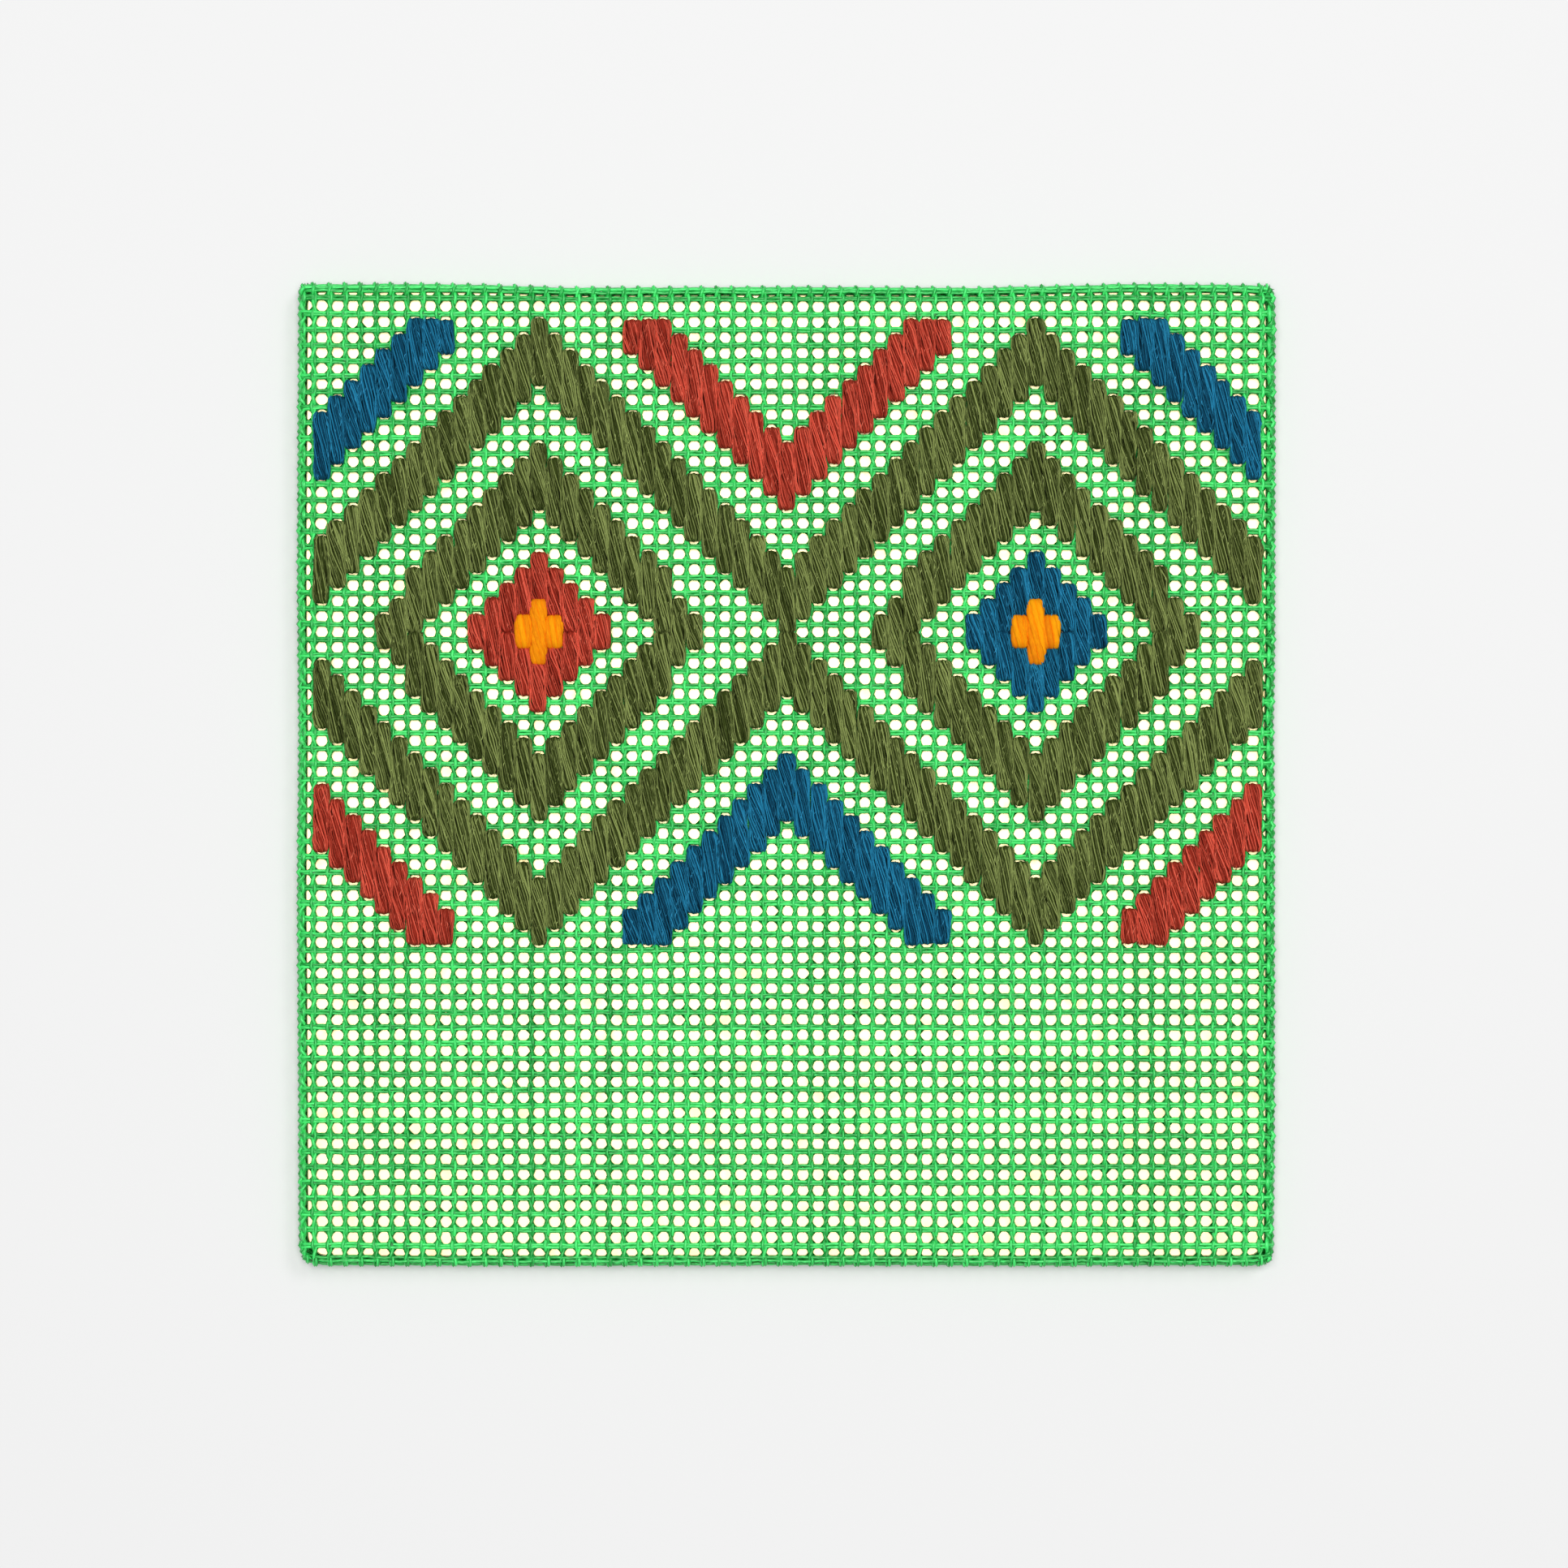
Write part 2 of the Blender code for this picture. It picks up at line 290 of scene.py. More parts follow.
    # A flat core, where there is one, fills the yarn so that nothing shows between its plies.
    level_spines = add(tree, "GeometryNodeSetCurveNormal", {"Curve": curves}, mode="Z_UP").outputs[0]
    core_width = calc("MULTIPLY", given["Spread"], given["Core"])
    core_height = calc("MULTIPLY", given["Lift"], given["Core"])
    core_size = add(tree, "ShaderNodeCombineXYZ", {0: core_width, 1: core_height}).outputs[0]
    core_circle = add(tree, "GeometryNodeCurvePrimitiveCircle", {"Resolution": 4, "Radius": 1.0})
    core_section = add(
        tree, "GeometryNodeTransform", {"Geometry": core_circle.outputs[0], "Scale": core_size}
    )
    core = add(
        tree,
        "GeometryNodeCurveToMesh",
        {"Curve": level_spines, "Profile Curve": core_section.outputs[0], "Fill Caps": True},
    )
    cored = add(tree, "FunctionNodeCompare", {0: given["Core"], 1: 0.0}, operation="GREATER_THAN")
    core_or_none = add(tree, "GeometryNodeSwitch", {0: cored.outputs[0], 2: core.outputs[0]})
    yarn = add(tree, "GeometryNodeJoinGeometry", {0: tube.outputs[0]})
    tree.links.new(core_or_none.outputs[0], yarn.inputs[0])
    return end_tree(tree, yarn.outputs[0], given["Finish"])


def made_by(tree, name, base, **values):
    """The plain mesh object that a tree makes from a base mesh, with its inputs set by their labels."""
    piece = bpy.data.objects.new(name, base)
    bpy.context.scene.collection.objects.link(piece)
    modifier = piece.modifiers.new(tree.name, "NODES")
    modifier.node_group = tree
    identifiers = {
        item.name: item.identifier
        for item in tree.interface.items_tree
        if item.item_type == "SOCKET" and item.in_out == "INPUT"
    }
    for label, value in values.items():
        modifier[identifiers[label.replace("_", " ")]] = value
    graph = bpy.context.evaluated_depsgraph_get()
    mesh = bpy.data.meshes.new_from_object(
        piece.evaluated_get(graph), preserve_all_data_layers=True, depsgraph=graph
    )
    piece.modifiers.remove(modifier)
    piece.data = mesh
    mesh.name = name
    bpy.data.meshes.remove(base)
    return piece


def spine_mesh(name, spines, lead=0.0):
    """A mesh of lines. A spine is (its points, the swell at each point, its start angle at each point)."""
    points, edges, swell, start = [], [], [], []
    for line, swells, angles in spines:
        edges += [(len(points) + k, len(points) + k + 1) for k in range(len(line) - 1)]
        points += line
        swell += swells
        start += angles
    mesh = bpy.data.meshes.new(name + "_spines")
    mesh.from_pydata(points, edges, [])
    for label, numbers in (("swell", swell), ("start", start), ("lead", [lead] * len(start))):
        mesh.attributes.new(label, "FLOAT", "POINT").data.foreach_set("value", numbers)
    return mesh


def flat_reach(axis, beside):
    """How far a thread of the flat cloth runs along an axis, when it lies this far beside the middle.

    The corners are cut away so that the margins meet in a mitre at the back.
    """
    other = "y" if axis == "x" else "x"
    past = abs(beside) - (HALF[other] - WRAP_RADIUS)
    margin_starts = HALF[axis] - WRAP_RADIUS + over_edge

    # On the face it goes over both edges, and ends with the margin or at the mitre.
    if past < quarter_turn / 2:
        depth = min(BACK_MARGIN, HALF[other] - abs(beside))
        return margin_starts + max(0.0, depth - WRAP_RADIUS)

    # On the side it ends at the corners, and in the margin at the mitres.
    if past < quarter_turn * 3 / 2 + upright:
        return HALF[axis]
    return HALF[axis] - (past - over_edge + WRAP_RADIUS)


def stops_along(axis, reach, offset, step, margin_step):
    """Where a thread's spine has its points: evenly on the face, and closer where it turns over an edge."""
    turn_from = HALF[axis] - WRAP_RADIUS
    turn_to = turn_from + over_edge
    last = int(HALF[axis] * 2 / step)
    stops = [offset + step * k for k in range(-last, last + 1)]
    stops = [s for s in stops if abs(s) < turn_from]
    turn_steps = 6
    for way in (-1, 1):
        for turn in (turn_from, turn_from + quarter_turn + upright):
            stops += [way * (turn + quarter_turn * k / turn_steps) for k in range(turn_steps + 1)]
        stops.append(way * (turn_from + quarter_turn + upright / 2))
        beyond = int((reach - turn_to) / margin_step) if reach > turn_to else 0
        stops += [way * (turn_to + margin_step * (k + 1)) for k in range(beyond)]
        stops.append(way * reach)
    stops = sorted(s for s in stops if abs(s) <= reach)
    closest = step / 8
    apart = [stops[0]]
    for stop in stops[1:]:
        if stop - apart[-1] > closest:
            apart.append(stop)
    return apart


def pressed(axis, offset, beside):
    """Where a thread lies, since the turning draws in the first one beyond the face and all after it."""
    side = math.copysign(1, beside)
    turn_from = HALF[axis] - WRAP_RADIUS
    steps = math.ceil((turn_from - side * offset) / PITCH - 0.5)
    first = (steps + 0.5) * PITCH + side * offset
    if abs(beside) < first - PITCH / 2:
        return beside
    return beside - side * max(0.0, first - turn_from - PRESSED[axis, side])


def thread_spines(axis, offset, beside_offset, step, margin_step, first_angle=0.0, waver=0.0, chooser=None):
    """The spines of one family of threads in the flat cloth. Waver is how far its plies roll to and fro."""
    other = "y" if axis == "x" else "x"
    flat_half = flat_reach(other, 0.0)
    count = int(flat_half / PITCH) + 1
    spines = []
    for k in range(-count - 1, count + 1):
        beside = (k + 0.5) * PITCH + beside_offset
        if abs(beside) > flat_half - CUT_EDGE or (chooser and not chooser(beside)):
            continue
        beside = pressed(other, beside_offset, beside)
        reach = flat_reach(axis, beside)
        stops = stops_along(axis, reach, offset, step, margin_step)
        if axis == "x":
            line = [(s, beside, cloth_middle) for s in stops]
        else:
            line = [(beside, s, cloth_middle) for s in stops]
        phase = chance.uniform(0, math.tau)
        roll = chance.uniform(2.6, 4.2) * PITCH
        angles = [first_angle + waver * math.sin(s / roll * math.tau + phase) for s in stops]
        on_turn = 0 < abs(beside) - HALF[other] + WRAP_RADIUS < quarter_turn
        spines.append((line, [EDGE_SWELL if on_turn else 1.0] * len(line), angles))
    return spines


def turned_over(across, height, half):
    """Where points of the flat cloth go once it is turned over a board's edge: (across, height)."""
    turn_from = half - WRAP_RADIUS
    past = np.abs(across) - turn_from
    rise = height - cloth_middle
    upper = np.clip(past / turn_radius, 0, math.pi / 2)
    lower = np.clip((past - quarter_turn - upright) / turn_radius, 0, math.pi / 2)
    down = np.clip(past - quarter_turn, 0, upright)
    inward = np.clip(past - over_edge, 0, None)
    reach = turn_radius + rise
    outer = turn_from + reach * np.where(lower > 0, np.cos(lower), np.sin(upper)) - inward
    top = cloth_middle - turn_radius + reach * np.cos(upper) - down - reach * np.sin(lower)
    flat = past <= 0
    new_across = np.where(flat, across, np.copysign(outer, across))
    return new_across, np.where(flat, height, top)


# How far each edge is drawn in from the straight, and how far the threads there stand out from the cloth's
# mean surface, in millimetres. Columns: distance from the edge's left or bottom end, how far drawn in.
DRAWN_IN = {
    "bottom": ((0, 0.1), (40, 0.0), (80, 0.1), (120, 0.0), (160, 0.1)),
    "right": ((0, 0.3), (8, 0.3), (21, 0.1), (74, 0.1), (88, 0.3), (101, 0.05), (154, 0.0), (160, 0.1)),
    "top": ((0, 0.0), (18, 0.0), (31, 0.15), (44, 0.65), (84, 0.5), (111, 0.65), (137, 0.0), (160, 0.2)),
    "left": ((0, 0.5), (4, 0.3), (21, 0.25), (48, 0.1), (61, 0.0), (87, 0.25), (114, 0.0), (160, 0.25)),
}
STAND_OUT = {"bottom": 0.6, "right": 0.42, "top": 0.38, "left": 0.38}

# How round each corner is. Columns: side across, side up, radius in millimetres.
CORNERS = ((-1, -1, 3.0), (1, -1, 2.7), (1, 1, 2.2), (-1, 1, 1.8))


def stretched_over_board(piece):
    """Turns the flat cloth of a piece over the board's edges, rounds its corners and draws its edges in."""
    mesh = piece.data
    co = np.empty(len(mesh.vertices) * 3, np.float32)
    mesh.vertices.foreach_get("co", co)
    co = co.reshape(-1, 3).astype(float)

    # At a corner a point turns over the edge that it is further past.
    x, over_side = turned_over(co[:, 0], co[:, 2], HALF["x"])
    y, over_end = turned_over(co[:, 1], co[:, 2], HALF["y"])
    past_side = np.abs(co[:, 0]) - HALF["x"]
    past_end = np.abs(co[:, 1]) - HALF["y"]
    sideways = past_side > past_end
    co[:, 0] = np.where(sideways, x, co[:, 0])
    co[:, 1] = np.where(sideways, co[:, 1], y)
    co[:, 2] = np.where(sideways, over_side, over_end)

    for across, up, radius in CORNERS:
        dx = co[:, 0] * across - (HALF["x"] - radius * MM)
        dy = co[:, 1] * up - (HALF["y"] - radius * MM)
        inside = (dx > 0) & (dy > 0)
        size = np.hypot(dx, dy)
        scale = np.where(inside, np.maximum(dx, dy) / np.where(size > 0, size, 1), 1)
        co[:, 0] += across * np.where(inside, dx * (scale - 1), 0)
        co[:, 1] += up * np.where(inside, dy * (scale - 1), 0)

    # How far in from an edge its unevenness is felt.
    edge_zone = 8 * MM
    near_x = np.clip((np.abs(co[:, 0]) - HALF["x"] + edge_zone) / edge_zone, 0, 1) ** 2
    near_y = np.clip((np.abs(co[:, 1]) - HALF["y"] + edge_zone) / edge_zone, 0, 1) ** 2
    pulls = {}
    for edge, along in (("bottom", co[:, 0]), ("top", co[:, 0]), ("left", co[:, 1]), ("right", co[:, 1])):
        table = np.array(DRAWN_IN[edge]) * MM
        half = HALF["x"] if edge in ("bottom", "top") else HALF["y"]
        pulls[edge] = np.interp(along + half, table[:, 0], table[:, 1]) - STAND_OUT[edge] * MM
    pull_x = np.where(co[:, 0] > 0, pulls["right"], pulls["left"])
    pull_y = np.where(co[:, 1] > 0, pulls["top"], pulls["bottom"])
    co[:, 0] -= np.sign(co[:, 0]) * pull_x * near_x
    co[:, 1] -= np.sign(co[:, 1]) * pull_y * near_y
    mesh.vertices.foreach_set("co", co.astype(np.float32).ravel())
    mesh.update()


def thread_finish(
    name, dark, light, roughness, fibre_length, fibre_depth, own_tone, fibres_round=1.6, gloss=0.5
):
    """Spun fibre: streaks that run along each ply, and a tone of its own for each."""
    material, tree, shader = new_finish(name, roughness)
    calc = calculator(tree)
    ring = add(tree, "ShaderNodeAttribute", attribute_name="ring").outputs["Vector"]
    along = add(tree, "ShaderNodeAttribute", attribute_name="along").outputs["Fac"]
    tone = add(tree, "ShaderNodeAttribute", attribute_name="tone").outputs["Fac"]

    # A ply's tone also sets where in the noise it reads its streaks, so no two plies have the same ones.
    between_plies = 90.0
    place = calc("ADD", calc("MULTIPLY", along, 1 / fibre_length), calc("MULTIPLY", tone, between_plies))
    lengthways = add(tree, "ShaderNodeCombineXYZ", {"Z": place}).outputs[0]
    around = (fibres_round, fibres_round, 0.0)
    spot = add(
        tree, "ShaderNodeVectorMath", {0: ring, 1: around, 2: lengthways}, operation="MULTIPLY_ADD"
    ).outputs[0]
    noise = {"Vector": spot, "Scale": 1.0, "Detail": 3.0, "Roughness": 0.6}
    streaks = add(tree, "ShaderNodeTexNoise", noise).outputs[0]
    level = calc("ADD", streaks, calc("MULTIPLY_ADD", tone, own_tone, -own_tone / 2))
    tree.links.new(blended(tree, level, 0.3, 0.7, dark, light), shader.inputs["Base Color"])
    normal = bumped(tree, streaks, strength=0.6, depth=fibre_depth)
    tree.links.new(normal, shader.inputs["Normal"])
    shader.inputs["Specular IOR Level"].default_value = gloss
    return material


plied_yarn = plied_yarn_tree()
chance = random.Random(7)
green_cotton = thread_finish(
    "green_cotton",
    dark=(0.001, 0.25, 0.024),
    light=(0.08, 0.98, 0.21),
    roughness=0.38,
    fibre_length=1.1 * MM,
    fibre_depth=0.06 * MM,
    own_tone=0.25,
    gloss=0.45,
)
canvas_wefts = made_by(
    plied_yarn,
    "canvas_wefts",
    spine_mesh("wefts", thread_spines("x", MESH_RIGHT, MESH_UP, PITCH, PITCH, waver=0.9)),
    Along=(1.0, 0.0, 0.0),
    Across=(0.0, 1.0, 0.0),
    Plies=2,
    Turn_Length=1000.0,
    Spread=0.26 * MM,
    Lift=0.14 * MM,
    Lift_Turns=1.0,
    Ply_Radius=0.265 * MM,
    Sides=5,
    Drift=0.5 * MM,
    Drift_Length=7 * MM,
    Unevenness=0.28 * MM,
    Seed=3,
    Finish=green_cotton,
)
warps = []
third = HALF["x"] / 3
crest_angle = -math.pi * (MESH_UP + PITCH / 2) / PITCH
for name, chooser in (
    ("canvas_warps_left", lambda x: x < -third),
    ("canvas_warps_middle", lambda x: abs(x) <= third),
    ("canvas_warps_right", lambda x: x > third),
):
    spines = thread_spines(
        "y", MESH_UP + PITCH / 2, MESH_RIGHT, PITCH / 4, PITCH / 2, crest_angle, chooser=chooser
    )
    piece = made_by(
        plied_yarn,
        name,
        spine_mesh(name, spines, lead=math.pi / 2),
        Along=(0.0, 1.0, 0.0),
        Across=(1.0, 0.0, 0.0),
        Plies=2,
        Turn_Length=2 * PITCH,
        Spread=0.30 * MM,
        Lift=0.30 * MM,
        Lift_Turns=2.0,
        Ply_Radius=0.305 * MM,
        Sides=4,
        Drift=0.5 * MM,
        Drift_Length=6 * MM,
        Unevenness=0.22 * MM,
        Seed=11,
        Finish=green_cotton,
    )
    warps.append(piece)


def stiffening_tree():
    """Puts a thin pointed web at each crossing, a little bigger or smaller than the next.

    It is the stiffening that the canvas is dipped in, which fills the mesh's corners and rounds its holes.
    """
    kinds = {
        "Crossings": "Geometry",
        "Reach": "Float",
        "Waist": "Float",
        "Thickness": "Float",
        "Seed": "Int",
        "Finish": "Material",
    }
    tree, given = new_tree("stiffening", "Webs", kinds)
    calc = calculator(tree)

    # Every second corner of the cone's base is drawn in, which makes it a star of four points.
    cone = add(
        tree,
        "GeometryNodeMeshCone",
        {"Vertices": 8, "Radius Top": 0.0, "Radius Bottom": given["Reach"], "Depth": given["Thickness"]},
    )
    place = add(tree, "GeometryNodeInputPosition").outputs[0]
    x, y, _ = add(tree, "ShaderNodeSeparateXYZ", {0: place}).outputs
    off_axis = calc("ABSOLUTE", calc("MULTIPLY", x, y))
    nearly_none = 1e-9
    between = add(tree, "FunctionNodeCompare", {0: off_axis, 1: nearly_none}, operation="GREATER_THAN")
    drawn_in = add(tree, "ShaderNodeVectorMath", {0: place, "Scale": given["Waist"]}, operation="SCALE")
    star = add(
        tree,
        "GeometryNodeSetPosition",
        {"Geometry": cone.outputs[0], "Selection": between.outputs[0], "Position": drawn_in.outputs[0]},
    )
    smallest, biggest = (0.85, 0.85, 1.0), (1.12, 1.12, 1.0)
    size = add(
        tree,
        "FunctionNodeRandomValue",
        {"Min": smallest, "Max": biggest, "Seed": given["Seed"]},
        data_type="FLOAT_VECTOR",
    )
    webs = add(
        tree,
        "GeometryNodeInstanceOnPoints",
        {"Points": given["Crossings"], "Instance": star.outputs[0], "Scale": size.outputs[0]},
    )
    return end_tree(tree, webs.outputs[0], given["Finish"])


# The webs lie a little under the cloth's middle, and none lies where the corners are cut away.
web_height = cloth_middle - 0.05 * MM
bare_corner = 0.3 * MM
turned_part = over_edge - WRAP_RADIUS
to_cut_edge = math.ceil(flat_reach("y", 0.0) / PITCH)
crossings = []
for column in range(-to_cut_edge, to_cut_edge):
    for row in range(-to_cut_edge, to_cut_edge):
        x = pressed("x", MESH_RIGHT, (column + 0.5) * PITCH + MESH_RIGHT)
        y = pressed("y", MESH_UP, (row + 0.5) * PITCH + MESH_UP)
        past_x, past_y = abs(x) - HALF["x"], abs(y) - HALF["y"]
        at_corner = min(past_x, past_y) > -bare_corner
        if max(past_x, past_y) < turned_part and not at_corner:
            crossings.append((x, y, web_height))
crossing_mesh = bpy.data.meshes.new("crossings")
crossing_mesh.from_pydata(crossings, [], [])
tones = [chance.random() for _ in crossings]
crossing_mesh.attributes.new("tone", "FLOAT", "POINT").data.foreach_set("value", tones)
canvas_stiffening = made_by(
    stiffening_tree(),
    "canvas_stiffening",
    crossing_mesh,
    Reach=1.34 * MM,
    Waist=0.66,
    Thickness=0.30 * MM,
    Seed=5,
    # The webs' shape is the real stiffening. Their green, darker than the threads', is painted shade in the
    # corners between the crossing threads.
    Finish=thread_finish(
        "stiffened_cotton_painted_shade",
        dark=(0.001, 0.18, 0.020),
        light=(0.02, 0.48, 0.09),
        roughness=0.5,
        fibre_length=1.0 * MM,
        fibre_depth=0.0,
        own_tone=1.0,
    ),
)
for piece in [canvas_wefts, *warps, canvas_stiffening]:
    stretched_over_board(piece)
    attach(piece, "root")
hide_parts("canvas")


# The wool
# Tapestry wool in upright satin stitches. Each stitch stands over four threads of the canvas, side by side
# with the next, one for each column of holes, and its two ends go down through the holes.

# The pattern counts the canvas's holes, by columns from the panel's middle and by rows down from the first
# one on its face. A stitch is (column, top row, bottom row). A band is one stitch high, and some rows of the
# canvas are bare between two bands.
STITCH = 4
HALF_STITCH = STITCH // 2
SHORTEST_STITCH = 2
FIRST_ROW = 1
LAST_ROW = 41
HALF_COLUMNS = 30
MIDDLE_ROW = 30
CENTRE_ROW = (FIRST_ROW + LAST_ROW) // 2
HALF_REPEAT = 16
BARE = 4
RING_COLUMNS = 8
HEART_COLUMNS = 2
HEART_STITCH = 3


def slanted(first, last, top_at_first, step):
    """A band of stitches that goes down or up by step rows for each column."""
    way = 1 if last >= first else -1
    stitches = []
    for place, column in enumerate(range(first, last + way, way)):
        top = top_at_first + step * place
        bottom = min(top + STITCH, LAST_ROW)
        top = max(top, FIRST_ROW)
        if abs(column) <= HALF_COLUMNS and bottom - top >= SHORTEST_STITCH:
            stitches.append((column, top, bottom))
    return stitches


def upside_down(stitches):
    """The same stitches mirrored about the pattern's centre row."""
    return [(c, 2 * CENTRE_ROW - bottom, 2 * CENTRE_ROW - top) for c, top, bottom in stitches]


def both_ways_up(stitches):
    """The stitches and their mirror image."""
    return stitches + upside_down(stitches)


def zigzags():
    """Two olive zigzags that meet at the centre row and outline a lozenge on each side."""
    stitches = []
    for peak in (-HALF_REPEAT, HALF_REPEAT):
        stitches += slanted(peak, peak - HALF_REPEAT + (1 if peak > 0 else 0), FIRST_ROW, 1)
        stitches += slanted(peak + 1, peak + HALF_REPEAT, FIRST_ROW + 1, 1)
    return both_ways_up(stitches)


def side_tips(peak, columns):
    """A long and a short stitch that close a lozenge at each side."""
    tips = []
    for way in (-1, 1):
        tip = peak + way * columns
        tips.append((tip, CENTRE_ROW - HALF_STITCH, CENTRE_ROW + HALF_STITCH))
        tips.append((tip + way, CENTRE_ROW - 1, CENTRE_ROW + 1))
    return tips


def ring(peak):
    """The olive lozenge inside a zigzag's."""
    top = FIRST_ROW + STITCH + BARE
    legs = slanted(peak, peak - RING_COLUMNS, top, 1) + slanted(peak + 1, peak + RING_COLUMNS, top + 1, 1)
    return both_ways_up(legs) + side_tips(peak, RING_COLUMNS + 1)


def heart(peak):
    """The small lozenge inside a ring, round its eye."""
    top = CENTRE_ROW - HALF_STITCH - HEART_STITCH
    reach = range(-HEART_COLUMNS, HEART_COLUMNS + 1)
    half = [(peak + k, top + abs(k), top + abs(k) + HEART_STITCH) for k in reach]
    return both_ways_up(half) + side_tips(peak, HEART_COLUMNS + 1)


def eye(peak):
    """Three orange stitches at the middle of a heart."""
    heights = ((-1, HALF_STITCH - 1), (0, HALF_STITCH), (1, HALF_STITCH - 1))
    return [(peak + k, CENTRE_ROW - height, CENTRE_ROW + height) for k, height in heights]


def vee(middle):
    """A vee above the zigzags, or the part of one that the panel's edge leaves."""
    dip = FIRST_ROW + HALF_REPEAT - BARE - STITCH
    reach = dip + SHORTEST_STITCH - 1
    return slanted(middle, middle - reach, dip, -1) + slanted(middle + 1, middle + reach, dip - 1, -1)


corner_vees = vee(-2 * HALF_REPEAT) + vee(2 * HALF_REPEAT)
wool_chart = {
    "olive_wool": zigzags() + ring(-HALF_REPEAT) + ring(HALF_REPEAT),
    "red_wool": vee(0) + upside_down(corner_vees) + heart(-HALF_REPEAT),
    "blue_wool": upside_down(vee(0)) + corner_vees + heart(HALF_REPEAT),
    "orange_wool": eye(-HALF_REPEAT) + eye(HALF_REPEAT),
}

# How many ends of stitches go down through each hole.
hole_uses = {}
for stitches in wool_chart.values():
    for column, top, bottom in stitches:
        for row in (top, bottom):
            hole_uses[column, row] = hole_uses.get((column, row), 0) + 1

# A stitch from its end to its crown, in millimetres. Columns: distance from the hole's middle towards the
# stitch's middle, height over the middle of the cloth, how wide the yarn has spread against 1 at the crown.
STITCH_PATH = (
    (-0.16, -0.40, 0.52),
    (-0.26, 0.46, 0.76),
    (0.20, 0.98, 0.92),
    (1.60, 1.24, 1.00),
)

# How high the crown stands over the cloth's middle, and how far an end moves aside in a shared hole.
CROWN = 1.32 * MM
SHARED_HOLE = 0.34 * MM


def stitch_spine(column, top, bottom):
    """One stitch's spine, with the small differences in place, tension and twist that hand stitching has."""
    astray, uneven_height, most_lean = 0.10 * MM, 0.07 * MM, 0.14 * MM
    x = column * PITCH + MESH_RIGHT + chance.uniform(-astray, astray)
    high = (MIDDLE_ROW - top) * PITCH + MESH_UP
    low = (MIDDLE_ROW - bottom) * PITCH + MESH_UP
    middle = (high + low) / 2
    raised = cloth_middle + chance.uniform(-uneven_height, uneven_height)
    lean = chance.uniform(-most_lean, most_lean)
    reach = min(1.0, (high - low) / (STITCH * PITCH))
    ends = []
    for row, hole, inward in ((top, high, -1), (bottom, low, 1)):
        slack = (SHARED_HOLE if hole_uses[column, row] > 1 else 0.0) + chance.uniform(-astray, astray)
        ends.append(
            [
                (x + lean * inward, hole + inward * (distance * MM * reach + slack), raised + height * MM)
                for distance, height, _ in STITCH_PATH
            ]
        )
    line = ends[0] + [(x, middle, raised + CROWN)] + ends[1][::-1]
    full = chance.uniform(0.94, 1.06)
    swells = [swell * full for _, _, swell in STITCH_PATH]
    first_angle = chance.uniform(0, math.tau)
    twist = chance.uniform(-0.07, 0.09) / MM
    angles = [first_angle + twist * (y - middle) for _, y, _ in line]
    return line, swells + [full] + swells[::-1], angles


# Three of the wools are many fine uneven plies, which show as soft strands. The orange is six smooth ones.
SOFT_YARN = {
    "Plies": 18,
    "Sides": 3,
    "Spread": 1.30 * MM,
    "Ply_Radius": 0.18 * MM,
    "Unevenness": 0.95 * MM,
}
SMOOTH_YARN = {
    "Plies": 6,
    "Sides": 6,
    "Spread": 1.00 * MM,
    "Ply_Radius": 0.62 * MM,
    "Unevenness": 0.10 * MM,
}

# Columns: dark and light of the fibre, the make of the yarn, how deep its fibres stand.
WOOLS = {
    "olive_wool": ((0.028, 0.043, 0.004), (0.300, 0.370, 0.110), SOFT_YARN, 0.10 * MM),
    "red_wool": ((0.270, 0.020, 0.009), (0.890, 0.134, 0.078), SOFT_YARN, 0.10 * MM),
    "blue_wool": ((0.001, 0.047, 0.098), (0.020, 0.264, 0.466), SOFT_YARN, 0.10 * MM),
    "orange_wool": ((0.780, 0.205, 0.001), (1.000, 0.375, 0.001), SMOOTH_YARN, 0.03 * MM),
}

# The stitches of a colour stand for all the solid runs of that colour.
node_names = [name for name in frame["nodes"] if name not in ("board", "canvas")]
slots = {entry["node"]: entry["material_slot"] for entry in frame["record"]["subparts"]}
wool_pieces = {}
for slot, (dark, light, yarn, fibre_depth) in WOOLS.items():
    finish = thread_finish(
        slot,
        dark,
        light,
        roughness=0.85,
        fibre_length=0.9 * MM,
        fibre_depth=fibre_depth,
        fibres_round=3.5,
        own_tone=0.38,
        gloss=0.12,
    )
    piece = made_by(
        plied_yarn,
        slot + "_stitches",
        spine_mesh(slot, [stitch_spine(*stitch) for stitch in wool_chart[slot]]),
        Along=(0.0, 1.0, 0.0),
        Across=(1.0, 0.0, 0.0),
        Turn_Length=25 * MM,
        Lift=0.44 * MM,
        Lift_Turns=1.0,
        Core=0.8,
        Drift=0.0,
        Drift_Length=14 * MM,
        Seed=23,
        Finish=finish,
        **yarn,
    )
    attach(piece, "root")
    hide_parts(*[name for name in node_names if slots[name] == slot])
    wool_pieces[slot] = piece


# Fine fibres lie over the wool and stand off it. The orange yarn is smoother and has none. Their dark is the
# middle of the wool's two tones, and their light is its light tone made brighter and whiter, a painted
# highlight of fibres catching the light.
BRIGHTER, WHITER, BRIGHTEST = 1.35, 0.02, 0.95


